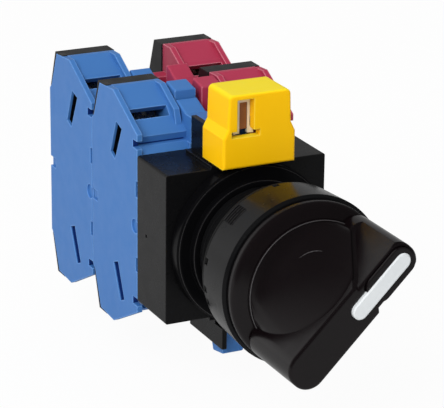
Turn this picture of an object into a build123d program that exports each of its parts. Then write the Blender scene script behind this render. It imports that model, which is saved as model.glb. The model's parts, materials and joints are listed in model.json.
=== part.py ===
from build123d import *
import math
import os

os.makedirs("parts", exist_ok=True)

# Sizes in millimetres. The knob faces -Y, +X is to the right seen from the front, +Z is up.
# The origin is on the operator's axis, at the rear face of the panel gasket.

running_fit = 0.05
seat_gap = 0.05
part_gap = 0.10

# Width that the bezel, the adaptor and the contact blocks share
module_width = 30.0

# Bezel and barrel
panel_hole = 22.3
barrel_clearance = 0.25
barrel_radius = panel_hole / 2 - barrel_clearance
barrel_bore = 9.6
barrel_end = 19.0
gasket_thickness = 1.0
gasket_radius = 14.0
bezel_radius = module_width / 2 - 0.2
bezel_taper = 0.45
bezel_rear_radius = bezel_radius - bezel_taper
bezel_depth = 8.8
bezel_edge = 0.45
bezel_wall = 3.0
hub_radius = 6.0
seal_wire = 0.55
seal_groove_depth = 1.15
seal_groove_width = 1.2
seal_setback = 0.9
notch_angles = (168.0, 187.5, 197.0, 96.5)
notch_width = 1.1
notch_depth = 0.7
notch_length = 1.5
grip_angle = 131.5
grip_span = 14.0
grip_length = 2.9
grip_grooves = 4
grip_groove_depth = 0.35

# Knob
knob_radius = bezel_radius - 0.6
knob_gap = 0.4
knob_rim = 1.4
knob_rim_edge = 0.4
knob_shoulder_rise = 1.4
knob_shoulder_sag = 0.15
crest_radius = knob_radius - 2.6
crest_edge = 0.12
crest_height = 0.4
marker_angle = 45.0
fin_length = 2 * knob_radius + 0.1
fin_half_width = 3.5
fin_corner = 3.2
fin_height = 13.4
fin_edge = 0.5
fin_flare = 5.0
flare_end_radius = 8.6
flare_end_rise = 5.0
fin_step = 0.7
fin_step_slant = 35.0
step_face_station = 3.5
step_base_station = 11.0
pad_half_width = 2.45
pad_from = 3.9
pad_to = 13.7
pad_depth = 0.7
pad_proud = 0.5
pad_corner = 2.1
insert_width = 2.75
insert_length = 13.1
insert_centre = 6.45
insert_depth = 1.4
insert_proud = 0.75
insert_edge = 0.2
hub_tail = 2.4
clip_thickness = 0.6
clip_radius = 7.8
clip_groove_depth = 0.6
clip_opening = 5.0

# Cam shaft
stub_side = 6.4
stub_length = 4.0
shaft_radius = 4.6
shaft_flat = 4.4
cam_front = 2.0
cam_base = 6.5
cam_radius = 8.9
ramp_inner_radius = 5.0
turn_angle = 90.0
push_travel = 4.0
ramp_low = cam_base + 0.2
ramp_margin = 10.0
ramp_steps = 11

# Detent spring
leaf_thickness = 0.5
leaf_width = 4.0
leaf_gap = 0.05
leaf_front = -3.2
leaf_end = 8.0

# Pushers and barrel cover
pusher_station = 7.2
pusher_radius = 1.5
pusher_tip_gap = 0.2
pusher_nose = 1.2
pusher_nose_radius = 0.6
pusher_collar_radius = 2.2
pusher_collar = 1.0
cover_thickness = 2.0
cover_front = 14.4
cover_spindle_hole = 2.2

# Ring nut
nut_front = 8.6
nut_rear = 11.95
nut_radius = 14.3
nut_edge = 0.5
collar_radius = 12.0
collar_front = 7.2

# Mounting adaptor
adaptor_front = 12.0
adaptor_depth = 11.65
adaptor_half_width = module_width / 2
adaptor_half_height = 13.4
adaptor_lip = 2.5
clamp_cavity_radius = 12.35
clamp_radius = 12.25
clamp_front_gap = 0.1
clamp_length = 6.0
clamp_lip_from = 16.6
clamp_lip_to = 17.9
barrel_groove_depth = 0.6
clamp_gaps = 3
clamp_gap_width = 5.0
lever_half_width = 1.6
lever_from = 16.4
lever_to = 19.8
lever_top = 17.3
lever_swing = 4.4
channel_half_width = module_width / 6 - 0.25
channel_wall = 0.9
channel_front = 9.1
channel_rear = 22.0
channel_height = 19.2
channel_underside = 15.4
foot_half_width = channel_half_width + channel_wall + 1.05
foot_height = 14.0
probe_hole_radius = 0.35
probe_hole_depth = 0.8
probe_hole_station = 8.0
probe_hole_height = 0.0

# Contact blocks
block_rise = 0.7
block_pitch = 20.0
block_front = 23.9
block_half_width = module_width / 2
plate_thickness = 1.0
slope_start = 16.3
slope_run = 10.3
block_half_height = 21.6
block_depth = 19.7
top_fall = 0.4
top_end = 16.2
rear_slant = (18.8, 14.7)
rear_half_height = 13.9
case_inner = block_half_width / 3
case_depth = 13.4
rib_width = 1.1
rib_start = 4.4
rib_foot = (3.3, 15.6)
wall = 1.0
band_height = 12.2
band_rise = 1.5
band_run = 1.3
groove_floor = 2.5
lower_slope_start = (2.2, 15.1)
slot_lower = (5.1, 17.2)
slot_upper = (7.3, 19.3)
upper_slope_end = 12.5
slot_inner = case_inner + 1.5
slot_reach = 3.2
chamber_half_height = 11.0
chamber_front = 1.2
terminal_floor = 12.0
terminal_front = 4.6
base_inner = case_inner - 0.25
base_depth = 19.3
base_half_height = 21.5
base_fall_start = 16.8
base_rear_height = 14.2
base_floor = 2.2
core_half_height = 13.5
core_inner = 0.1

# Latch arms, stations from the block's front face and heights from its middle
arm_inner = 0.6
arm_outer = case_inner - 0.4
arm_underside = 17.0
arm_top = 18.0
arm_root_front = 0.4
tooth_front = -12.8
tooth_rear = -11.2
tooth_reach = 15.4
hook_front_height = 21.0
hook_rear_height = 21.7
hook_rear = -9.0
hook_blend = -7.6
ridge_length = 3.1
ridge_height = 16.7
nose_blue = ((2.6, 18.0), (6.8, 19.6))
nose_magenta = ((-1.4, 19.4), (2.1, 21.2))
arm_edge = 0.35

# Small features of the outer side plate
edge_notches = ((5.0, 7.9), (-8.7, -6.1))
edge_notch_depth = 0.7
groove_notch_depth = 1.85
dimple_radius = 1.3
dimple_centre = (1.0, -0.5)
dimple_depth = 0.35
rear_notch_from = 17.3
rear_notch_heights = (-1.25, 0.65)
rear_notch_depth = 0.45
window_outline = [(9.0, 16.2), (6.5, 15.5), (9.5, 9.1), (11.5, 10.0)]
window_room = ((5.6, 12.9), (8.6, 16.6))
narrow_outline = [(8.35, -9.6), (10.4, -10.4), (7.4, -16.7), (5.6, -15.9)]

# Plunger, bridge, terminals and spring, seen in the left column
column_width = block_half_width - plate_thickness - wall - case_inner
chamber_outer = block_half_width - plate_thickness - wall
plunger_near = case_inner + 0.16 * column_width
plunger_far = plunger_near + 0.415 * column_width
plunger_half_height = 3.0
plunger_front = -0.25
strip_front = 7.4
strip_thickness = 0.8
strip_near = case_inner + 0.215 * column_width
strip_far = chamber_outer - 0.65
contact_height = 9.6
contact_radius = 0.16 * column_width
contact_thickness = 0.5
bridge_thickness = 0.8
bridge_half_width = 0.145 * column_width
bridge_end = 10.7
contact_gap = 0.05
screw_station = 9.65
screw_height = 14.45
clamp_plate_half = 2.6
clamp_plate_thickness = 0.9
screw_head_radius = (strip_far - strip_near) / 2 - 0.4
screw_head = 1.5
screw_shank_radius = 0.64 * screw_head_radius
screw_shank = 1.2
screw_slot = 0.7
screw_slot_depth = 0.7
ear_station = (plunger_far + chamber_outer) / 2
ear_half_height = 1.7
ear_front = 6.4
ear_thickness = 1.2
spring_radius = (chamber_outer - plunger_far) / 2 - 0.5
spring_wire = 0.28
spring_turns = 4
spring_sides = 10
wire_sides = 6

# Safety lock
lock_front = 7.2
lock_depth = 8.1
lock_bottom = 14.6
lock_half_width = channel_half_width + channel_wall + 1.05
lock_shoulder = 20.0
lock_shoulder_rise = 1.6
lock_neck = lock_half_width - 0.8
lock_top_half_width = lock_half_width - 1.0
lock_top = 27.4
lock_edge = 0.9
lock_wall = 1.6
lock_clearance = 0.1
lock_inner_top = 23.0
window_left = -4.2
window_right = -1.1
window_top = 26.5
window_foot_left = -5.2
window_foot_right = 0.0
window_foot_bottom = 20.0
window_foot_top = 21.1
clip_room_depth = 1.3
lock_clip_left = -3.5
lock_clip_leg = 0.45
lock_clip_head = 0.9
lock_clip_depth = 0.8
lock_clip_foot = 0.7
lock_leaf_setback = 0.15
lock_leaf_thickness = 0.35
lock_leaf_foot = 0.9


def rod(radius, y_from, y_to, x=0.0, z=0.0):
    """Round bar along Y."""
    seat = Plane(origin=(x, y_from, z), x_dir=(1, 0, 0), z_dir=(0, 1, 0))
    return extrude(seat * Circle(radius), y_to - y_from)


def turned(points):
    """Solid turned about the Y axis from an outline of radius and station."""
    return revolve(make_face(Polyline(*points, close=True)), Axis.Y)


def slab(points, x_from, x_to):
    """Solid with an outline of station and height, between two X positions."""
    outline = make_face(Plane.YZ * Polyline(*points, close=True))
    return extrude(Pos(x_from, 0, 0) * outline, x_to - x_from, dir=(1, 0, 0))


def block_of(x_range, y_range, z_range):
    """Rectangular solid between pairs of limits."""
    spans = [abs(pair[1] - pair[0]) for pair in (x_range, y_range, z_range)]
    middles = [(pair[0] + pair[1]) / 2 for pair in (x_range, y_range, z_range)]
    return Pos(*middles) * Box(*spans)


def strip(points, thickness, x_from, x_to):
    """Bent strip: a centre line of stations and heights given a thickness."""
    half = thickness / 2
    left, right = [], []
    for index, point in enumerate(points):
        before = points[max(index - 1, 0)]
        after = points[min(index + 1, len(points) - 1)]
        first = Vector(point[0] - before[0], point[1] - before[1])
        second = Vector(after[0] - point[0], after[1] - point[1])
        first = second if first.length == 0 else first
        second = first if second.length == 0 else second
        bisector = (first.normalized() + second.normalized()).normalized()
        normal = Vector(-bisector.Y, bisector.X)
        reach = half / max(bisector.dot(first.normalized()), 0.5)
        left.append((point[0] + normal.X * reach, point[1] + normal.Y * reach))
        right.append((point[0] - normal.X * reach, point[1] - normal.Y * reach))
    return slab(left + right[::-1], x_from, x_to)


def both_halves(points):
    """Closed outline from its upper half and that half's mirror image."""
    return points + [(station, -height) for station, height in points[::-1]]


def about_axis(shape, angle):
    """Shape turned about the operator's axis, counter-clockwise seen from the front."""
    return Rot(0, -angle, 0) * shape


# Stations that follow from the sizes
bezel_rear = -gasket_thickness
bezel_front = bezel_rear - bezel_depth
knob_rear = bezel_front - knob_gap
wall_rear = bezel_front + bezel_wall
rim_front = knob_rear - knob_rim
dish_edge = rim_front - knob_shoulder_rise
crest_foot = dish_edge + crest_height
fin_face = dish_edge - fin_height
hub_end = wall_rear + hub_tail
clip_front = wall_rear + running_fit
ramp_high = ramp_low + push_travel
pusher_tip = ramp_high + pusher_tip_gap
pusher_end = adaptor_front + adaptor_depth - seat_gap
adaptor_rear = adaptor_front + adaptor_depth

parts = {}


# Knob: turned body with a shoulder and a crest, and the fin that flares out of its face
def knob():
    front = [
        Line((0, hub_end), (hub_radius, hub_end)),
        Line((hub_radius, hub_end), (hub_radius, knob_rear)),
        Line((hub_radius, knob_rear), (knob_radius, knob_rear)),
        Line((knob_radius, knob_rear), (knob_radius, rim_front + knob_rim_edge)),
        Line((knob_radius, rim_front + knob_rim_edge), (knob_radius - knob_rim_edge, rim_front)),
        ThreePointArc(
            (knob_radius - knob_rim_edge, rim_front),
            (
                (knob_radius - knob_rim_edge + crest_radius) / 2 - knob_shoulder_sag / 2,
                (rim_front + crest_foot) / 2 + knob_shoulder_sag,
            ),
            (crest_radius, crest_foot),
        ),
        Line((crest_radius, crest_foot), (crest_radius, dish_edge + crest_edge)),
        Line((crest_radius, dish_edge + crest_edge), (crest_radius - crest_edge, dish_edge)),
        Line((crest_radius - crest_edge, dish_edge), (0, dish_edge)),
        Line((0, dish_edge), (0, hub_end)),
    ]
    body = revolve(make_face(front), Axis.Y)
    buried = dish_edge + fin_edge
    seat = Plane(origin=(0, buried, 0), x_dir=(1, 0, 0), z_dir=(0, -1, 0))
    fin = extrude(seat * RectangleRounded(2 * fin_half_width, fin_length, fin_corner), buried - fin_face)
    fin = fillet(fin.faces().sort_by(Axis.Y)[0].edges(), fin_edge)
    narrow = fin_half_width - fin_step
    core = extrude(seat * RectangleRounded(2 * narrow, fin_length, fin_corner - fin_step), buried - fin_face)
    core = fillet(core.faces().sort_by(Axis.Y)[0].edges(), fin_edge)
    for side in (1, -1):
        recess = make_face(
            Plane.YZ
            * Polyline(
                (fin_face - fin_edge, step_face_station),
                (fin_face, step_face_station),
                (dish_edge - fin_flare / 2, step_base_station),
                (dish_edge - fin_flare / 2, fin_length),
                (fin_face - fin_edge, fin_length),
                close=True,
            )
        )
        cutter = extrude(
            Pos(side * narrow, 0, 0) * recess, 2 * fin_step, dir=(side, 0, 0), taper=-fin_step_slant
        )
        fin -= cutter
    fin -= block_of(
        (-narrow - seat_gap, narrow + seat_gap), (fin_face - 1, fin_face + fin_edge), (step_face_station, fin_length)
    )
    fin += core
    top = dish_edge - fin_flare
    wide = fin_half_width + fin_flare
    bend = fin_flare * (1 - math.sqrt(0.5))
    flare = [
        Line((-wide, buried), (wide, buried)),
        Line((wide, buried), (wide, dish_edge)),
        ThreePointArc((wide, dish_edge), (fin_half_width + bend, dish_edge - bend), (fin_half_width, top)),
        Line((fin_half_width, top), (-fin_half_width, top)),
        ThreePointArc((-fin_half_width, top), (-fin_half_width - bend, dish_edge - bend), (-wide, dish_edge)),
        Line((-wide, dish_edge), (-wide, buried)),
    ]
    foot = extrude(make_face(flare), fin_length / 2, both=True)
    foot &= turned(
        [
            (0, buried),
            (crest_radius - 2 * crest_edge, buried),
            (crest_radius - 2 * crest_edge, dish_edge),
            (flare_end_radius, dish_edge - flare_end_rise),
            (flare_end_radius, fin_face),
            (0, fin_face),
        ]
    )
    body += foot
    body += fin
    middle = (pad_from + pad_to) / 2
    pad_seat = Plane(origin=(0, fin_face + pad_depth, middle), x_dir=(1, 0, 0), z_dir=(0, -1, 0))
    pad_hollow = RectangleRounded(2 * (pad_half_width + seat_gap), pad_to - pad_from + 2 * seat_gap, pad_corner)
    body -= extrude(pad_seat * pad_hollow, pad_depth + 1)
    pocket = Plane(origin=(0, fin_face - 1, insert_centre), x_dir=(1, 0, 0), z_dir=(0, 1, 0))
    hollow = pocket * SlotOverall(insert_length + 2 * seat_gap, insert_width + 2 * seat_gap, rotation=90)
    body -= extrude(hollow, insert_depth + 1)
    stub = stub_side + 2 * seat_gap
    body -= block_of((-stub / 2, stub / 2), (hub_end - stub_length, hub_end + 1), (-stub / 2, stub / 2))
    groove = rod(hub_radius + 1, clip_front - running_fit, clip_front + clip_thickness + running_fit)
    body -= groove - rod(hub_radius - clip_groove_depth, clip_front - 1, clip_front + clip_thickness + 1)
    return body


# Raised plate round the outer end of the insert
def pad():
    middle = (pad_from + pad_to) / 2
    seat = Plane(
        origin=(0, fin_face + pad_depth - seat_gap, middle), x_dir=(1, 0, 0), z_dir=(0, -1, 0)
    )
    outline = RectangleRounded(2 * pad_half_width, pad_to - pad_from, pad_corner)
    plate = extrude(seat * outline, pad_depth - seat_gap + pad_proud)
    pocket = Plane(origin=(0, fin_face - pad_proud - 1, insert_centre), x_dir=(1, 0, 0), z_dir=(0, 1, 0))
    hollow = pocket * SlotOverall(insert_length + 2 * seat_gap, insert_width + 2 * seat_gap, rotation=90)
    return plate - extrude(hollow, pad_depth + pad_proud + 2)


def insert():
    seat = Plane(
        origin=(0, fin_face + insert_depth - seat_gap, insert_centre), x_dir=(1, 0, 0), z_dir=(0, -1, 0)
    )
    bar = extrude(
        seat * SlotOverall(insert_length, insert_width, rotation=90), insert_depth - seat_gap + insert_proud
    )
    return chamfer(bar.faces().sort_by(Axis.Y)[0].edges(), insert_edge)


parts["selector_handle"] = about_axis(knob(), -marker_angle)
parts["indicator_insert"] = about_axis(insert(), -marker_angle)
parts["marker_plate"] = about_axis(pad(), -marker_angle)


# Bezel and barrel in one moulding
def bezel():
    bore = hub_radius + running_fit
    groove_rear = wall_rear - seal_setback
    groove_front = groove_rear - seal_groove_width
    body = turned(
        [
            (bore, bezel_front),
            (bezel_radius - bezel_edge, bezel_front),
            (bezel_radius, bezel_front + bezel_edge),
            (bezel_rear_radius, bezel_rear - bezel_edge),
            (bezel_rear_radius - bezel_edge, bezel_rear),
            (barrel_radius, bezel_rear),
            (barrel_radius, barrel_end),
            (barrel_bore, barrel_end),
            (barrel_bore, wall_rear),
            (bore, wall_rear),
            (bore, groove_rear),
            (bore + seal_groove_depth, groove_rear),
            (bore + seal_groove_depth, groove_front),
            (bore, groove_front),
        ]
    )
    groove = rod(barrel_radius + 1, clamp_lip_from - part_gap, clamp_lip_to + part_gap)
    body -= groove - rod(barrel_radius - barrel_groove_depth, clamp_lip_from - 1, clamp_lip_to + 1)
    for angle in notch_angles:
        cut = block_of(
            (bezel_rear_radius - notch_depth, bezel_rear_radius + 1),
            (bezel_rear - notch_length, bezel_rear + 0.1),
            (-notch_width / 2, notch_width / 2),
        )
        body -= about_axis(cut, angle)
    pitch = grip_length / grip_grooves
    for index in range(grip_grooves):
        start = bezel_rear - bezel_edge - (index + 1) * pitch
        sector = Plane(origin=(0, start, 0), x_dir=(1, 0, 0), z_dir=(0, 1, 0))
        ring = Circle(bezel_radius + 1) - Circle(bezel_rear_radius - grip_groove_depth)
        reach = bezel_radius + 2
        half = math.radians(grip_span / 2)
        wedge = make_face(
            Polyline(
                (0, 0),
                (reach * math.cos(half), reach * math.sin(half)),
                (reach * math.cos(half), -reach * math.sin(half)),
                close=True,
            )
        )
        body -= about_axis(extrude(sector * (ring & wedge), pitch / 2), grip_angle)
    return body


parts["bezel_housing"] = bezel()
parts["panel_gasket"] = turned(
    [
        (barrel_radius + running_fit, bezel_rear + seat_gap / 2),
        (gasket_radius - 0.3, bezel_rear + seat_gap / 2),
        (gasket_radius, bezel_rear + 0.3),
        (gasket_radius, -0.3),
        (gasket_radius - 0.3, 0),
        (barrel_radius + running_fit, 0),
    ]
)
seal_centre = hub_radius + running_fit + seal_wire
seal_station = wall_rear - seal_setback - seal_groove_width / 2
ring_sides = 8
parts["shaft_seal"] = turned(
    [
        (
            seal_centre + seal_wire * math.cos(math.radians(360 * (index + 0.5) / ring_sides)),
            seal_station + seal_wire * math.sin(math.radians(360 * (index + 0.5) / ring_sides)),
        )
        for index in range(ring_sides)
    ]
)

# Split ring in the hub's groove
clip_seat = Plane(origin=(0, clip_front, 0), x_dir=(1, 0, 0), z_dir=(0, 1, 0))
clip_bore = hub_radius - clip_groove_depth + running_fit
clip_ring = extrude(clip_seat * (Circle(clip_radius) - Circle(clip_bore)), clip_thickness)
clip_ring -= block_of(
    (-clip_opening / 2, clip_opening / 2),
    (clip_front - 1, clip_front + clip_thickness + 1),
    (-clip_radius - 1, 0),
)
parts["shaft_clip"] = clip_ring


# Shaft with flats for the detent, a disc and two ramps that rise round it
def ramp(angle):
    """Ramp that ends ramp_margin past the given angle, rising counter-clockwise."""
    sections = []
    span = turn_angle + 2 * ramp_margin
    rate = push_travel / turn_angle
    for index in range(ramp_steps + 1):
        past = ramp_margin - span * index / ramp_steps
        theta = math.radians(angle + past)
        top = ramp_high + rate * past
        plane = Plane(
            origin=(0, 0, 0),
            x_dir=(math.cos(theta), 0, math.sin(theta)),
            z_dir=(-math.sin(theta), 0, math.cos(theta)),
        )
        outline = Polyline(
            (ramp_inner_radius, cam_front + 1),
            (cam_radius - part_gap, cam_front + 1),
            (cam_radius - part_gap, top),
            (ramp_inner_radius, top),
            close=True,
        )
        sections.append(plane * make_face(outline))
    return loft(sections)


def cam():
    stub = stub_side
    body = block_of((-stub / 2, stub / 2), (hub_end - stub_length + seat_gap, hub_end + 0.2), (-stub / 2, stub / 2))
    body = about_axis(body, -marker_angle)
    shaft = rod(shaft_radius, hub_end + seat_gap, cam_front + 0.5)
    flats = block_of(
        (-shaft_flat, shaft_flat), (hub_end - 1, cam_front + 1), (-shaft_flat, shaft_flat)
    )
    body += shaft & flats
    body += rod(cam_radius, cam_front, cam_base)
    for angle in (0.0, 180.0):
        body += ramp(angle)
    body += rod(cover_spindle_hole - running_fit, cam_base - 0.5, cover_front + cover_thickness / 2)
    return body


parts["cam_shaft"] = cam()


# Detent spring: a strip bent into a U that straddles the shaft
def detent():
    inner = shaft_radius + leaf_gap
    outer = inner + leaf_thickness
    seat = Plane(origin=(0, leaf_front, 0), x_dir=(1, 0, 0), z_dir=(0, 1, 0))
    crown = math.sqrt((barrel_bore - 0.3) ** 2 - outer**2)
    outline = Rectangle(2 * outer, 2 * crown) - Rectangle(2 * inner, 2 * crown - 2 * leaf_thickness)
    body = extrude(seat * outline, leaf_width)
    opening = block_of(
        (-inner, inner), (leaf_front - 1, leaf_front + leaf_width + 1), (-crown - 1, -crown + leaf_thickness + 1)
    )
    return body - opening


parts["detent_spring"] = detent()

# Cover in the barrel's end
cover = rod(barrel_bore - running_fit, cover_front, cover_front + cover_thickness)
for side in (-1, 1):
    cover -= rod(pusher_radius + running_fit, cover_front - 1, cover_front + 3, x=side * pusher_station)
cover -= rod(cover_spindle_hole, cover_front - 1, cover_front + 3)
parts["barrel_cover"] = cover


# Pushers with a tapered nose and a collar that the cover stops
def pusher(side):
    x = side * pusher_station
    nose = turned(
        [
            (0, pusher_tip),
            (pusher_nose_radius, pusher_tip),
            (pusher_radius, pusher_tip + pusher_nose),
            (pusher_radius, pusher_end),
            (0, pusher_end),
        ]
    )
    body = Pos(x, 0, 0) * nose
    rear = cover_front - part_gap
    body += rod(pusher_collar_radius, rear - pusher_collar, rear, x=x)
    return body


parts["pusher_left"] = pusher(-1)
parts["pusher_right"] = pusher(1)

# Ring nut with its raised collar
parts["ring_nut"] = turned(
    [
        (barrel_radius + running_fit, collar_front),
        (collar_radius - 0.3, collar_front),
        (collar_radius, collar_front + 0.3),
        (collar_radius, nut_front),
        (nut_radius - nut_edge, nut_front),
        (nut_radius, nut_front + nut_edge),
        (nut_radius, nut_rear - nut_edge),
        (nut_radius - nut_edge, nut_rear),
        (barrel_radius + running_fit, nut_rear),
    ]
)


# Clamp collar with three inward lips in the barrel's groove
def clamp():
    front = adaptor_front + adaptor_lip + clamp_front_gap
    body = rod(clamp_radius, front, front + clamp_length)
    body -= rod(barrel_radius + running_fit, front - 1, front + clamp_length + 1)
    lip = rod(barrel_radius + running_fit + 0.2, clamp_lip_from, clamp_lip_to)
    lip -= rod(barrel_radius - barrel_groove_depth + running_fit, clamp_lip_from - 1, clamp_lip_to + 1)
    for index in range(clamp_gaps):
        slot = block_of(
            (0, clamp_radius + 1), (front - 1, front + clamp_length + 1), (-clamp_gap_width / 2, clamp_gap_width / 2)
        )
        lip -= about_axis(slot, 90 + index * 360 / clamp_gaps)
    body += lip
    body += block_of((-lever_half_width, lever_half_width), (lever_from, lever_to), (clamp_radius - 0.5, lever_top))
    return body - block_of((-1.0, 1.0), (front - 1, front + clamp_length + 1), (-clamp_radius - 1, 0))


parts["locking_collar"] = clamp()


# Adaptor housing with guide walls and catch ridges above and below
def adaptor():
    body = block_of(
        (-adaptor_half_width, adaptor_half_width),
        (adaptor_front, adaptor_rear),
        (-adaptor_half_height, adaptor_half_height),
    )
    body = fillet(body.edges().filter_by(Axis.Y), 0.4)
    sunk = 1.5
    wall_outer = channel_half_width + channel_wall
    ridge_front = block_front + tooth_rear + part_gap
    for sign in (1, -1):
        def level(height):
            return block_rise + sign * height

        foot = sign * (adaptor_half_height - sunk)
        for side in (1, -1):
            body += slab(
                [
                    (channel_front, level(channel_underside)),
                    (adaptor_front, level(channel_underside)),
                    (adaptor_front, foot),
                    (channel_rear, foot),
                    (channel_rear, level(channel_height)),
                    (channel_front, level(channel_height)),
                ],
                side * channel_half_width,
                side * wall_outer,
            )
        body += block_of(
            (-foot_half_width, foot_half_width), (adaptor_front, channel_rear), (foot, sign * foot_height)
        )
        body += block_of(
            (-channel_half_width - 0.2, channel_half_width + 0.2),
            (ridge_front, ridge_front + ridge_length - part_gap),
            (foot, level(ridge_height)),
        )
    body -= rod(barrel_radius + part_gap, adaptor_front - 3, adaptor_rear + 1)
    body -= rod(clamp_cavity_radius, adaptor_front + adaptor_lip, adaptor_rear + 1)
    body -= block_of(
        (-lever_swing, lever_swing), (lever_from - part_gap, lever_to + part_gap), (clamp_radius - 2, foot_height + 1)
    )
    hole = rod(probe_hole_radius, 0, probe_hole_depth + 1)
    probe = Pos(-adaptor_half_width - 1, adaptor_front + probe_hole_station, probe_hole_height)
    body -= probe * Rot(0, 0, -90) * hole
    return body


parts["adaptor_housing"] = adaptor()


# Safety lock: a cap with a keyhole window, open below and behind
def lock():
    seat = Plane(origin=(0, lock_front + lock_depth, 0), x_dir=(1, 0, 0), z_dir=(0, -1, 0))
    shoulder = lock_shoulder + lock_shoulder_rise
    outline = Polyline(
        (-lock_half_width, lock_bottom),
        (lock_half_width, lock_bottom),
        (lock_half_width, lock_shoulder),
        (lock_neck, shoulder),
        (lock_top_half_width, lock_top),
        (-lock_top_half_width, lock_top),
        (-lock_neck, shoulder),
        (-lock_half_width, lock_shoulder),
        close=True,
    )
    body = extrude(seat * make_face(outline), lock_depth)
    body = fillet(body.edges().filter_by(Axis.Y).group_by(Axis.Z)[-1], lock_edge)
    body = fillet(body.faces().sort_by(Axis.Y)[0].edges(), lock_edge / 2)
    inner = channel_half_width + channel_wall + lock_clearance
    inside_front = lock_front + lock_wall
    rear = lock_front + lock_depth + 1
    wall_top = block_rise + channel_height + 0.3
    body -= block_of((-inner, inner), (inside_front, rear), (lock_bottom - 1, wall_top))
    reach = arm_outer + 0.35
    body -= block_of((-reach, reach), (inside_front, rear), (lock_bottom, lock_inner_top))
    room = inside_front + clip_room_depth
    body -= block_of((window_left, window_right), (lock_front - 1, room), (window_foot_bottom, window_top))
    body -= block_of(
        (window_foot_left, window_foot_right), (lock_front - 1, room), (window_foot_bottom, window_foot_top)
    )
    return body


parts["safety_lock"] = lock()


# Spring clip behind the window: an arch with turned-out feet, and a leaf inside it
def lock_arch():
    left = lock_clip_left
    right = window_right - seat_gap
    front = lock_front + lock_wall + seat_gap
    rear = front + lock_clip_depth
    foot = window_foot_bottom + 0.2
    top = window_top - seat_gap
    body = block_of((left, right), (front, rear), (foot, top))
    body = fillet(body.edges().filter_by(Axis.Y).group_by(Axis.Z)[-1], 0.4)
    body -= block_of(
        (left + lock_clip_leg, right - lock_clip_leg), (front - 1, rear + 1), (foot - 1, top - lock_clip_head)
    )
    seat = Plane(origin=(0, rear, 0), x_dir=(1, 0, 0), z_dir=(0, -1, 0))
    for side, edge in ((1, right), (-1, left)):
        toe = Polyline(
            (edge - side * lock_clip_leg, foot),
            (edge + side * lock_clip_foot, foot - 0.1),
            (edge + side * lock_clip_foot, foot + 0.3),
            (edge, foot + 1.2),
            (edge - side * lock_clip_leg, foot + 1.2),
            close=True,
        )
        body += extrude(seat * make_face(toe), lock_clip_depth)
    return body


def lock_leaf():
    left = lock_clip_left + lock_clip_leg + seat_gap / 2
    right = window_right - seat_gap - lock_clip_leg - seat_gap / 2
    front = lock_front + lock_wall + seat_gap + lock_leaf_setback
    top = window_top - lock_clip_head - 2 * seat_gap
    return block_of(
        (left, right), (front, front + lock_leaf_thickness), (window_foot_bottom + lock_leaf_foot, top)
    )


parts["lock_clip"] = lock_arch()
parts["lock_leaf"] = lock_leaf()


# Contact block, built in the left column about its own front face and middle height
rise_per_run = (block_half_height - slope_start) / slope_run


def plate_outline(grow):
    """Outline of the outer side plate, moved outwards all round."""
    return both_halves(
        [
            (-grow, slope_start + grow),
            (slope_run, block_half_height + grow),
            (top_end + grow, block_half_height - top_fall + grow),
            (rear_slant[0] + grow, rear_slant[1] + grow),
            (block_depth + grow, rear_half_height + grow),
        ]
    )


body_outline = both_halves(
    [
        (0, band_height),
        (band_run, band_height + band_rise),
        (groove_floor, band_height + band_rise),
        lower_slope_start,
        slot_lower,
        slot_upper,
        (upper_slope_end, block_half_height - 0.1),
        (case_depth, block_half_height - 0.1),
    ]
)
terminal_room = [
    (terminal_front, terminal_floor),
    (terminal_front, lower_slope_start[1]),
    (slot_upper[0] + wall, slot_upper[1] - wall),
    (upper_slope_end, block_half_height - 0.1 - 1.4 * wall),
    (case_depth + 1, block_half_height - 0.1 - 1.4 * wall),
    (case_depth + 1, terminal_floor),
]
slot_outline = [
    (slot_lower[0] + 0.1 - 1, slot_lower[1] + 0.1 + 1),
    (slot_upper[0] - 0.6 - 1, slot_upper[1] - 0.6 + 1),
    (slot_upper[0] - 0.6 + slot_reach, slot_upper[1] - 0.6 - slot_reach),
    (slot_lower[0] + 0.1 + slot_reach, slot_lower[1] + 0.1 - slot_reach),
]


def flip(points):
    return [(station, -height) for station, height in points]


def latch_arm(nose):
    (nose_front, nose_front_height), (nose_rear, nose_rear_height) = nose
    return [
        (nose_rear, core_half_height - 1),
        (nose_rear, nose_rear_height),
        (nose_front, nose_front_height),
        (min(nose_front - 1.5, -2.0), arm_top),
        (hook_blend, arm_top),
        (hook_rear, hook_rear_height),
        (tooth_front, hook_front_height),
        (tooth_front, tooth_reach),
        (tooth_rear, tooth_reach),
        (tooth_rear, arm_underside),
        (arm_root_front, arm_underside),
        (arm_root_front, core_half_height - 1),
    ]


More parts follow.
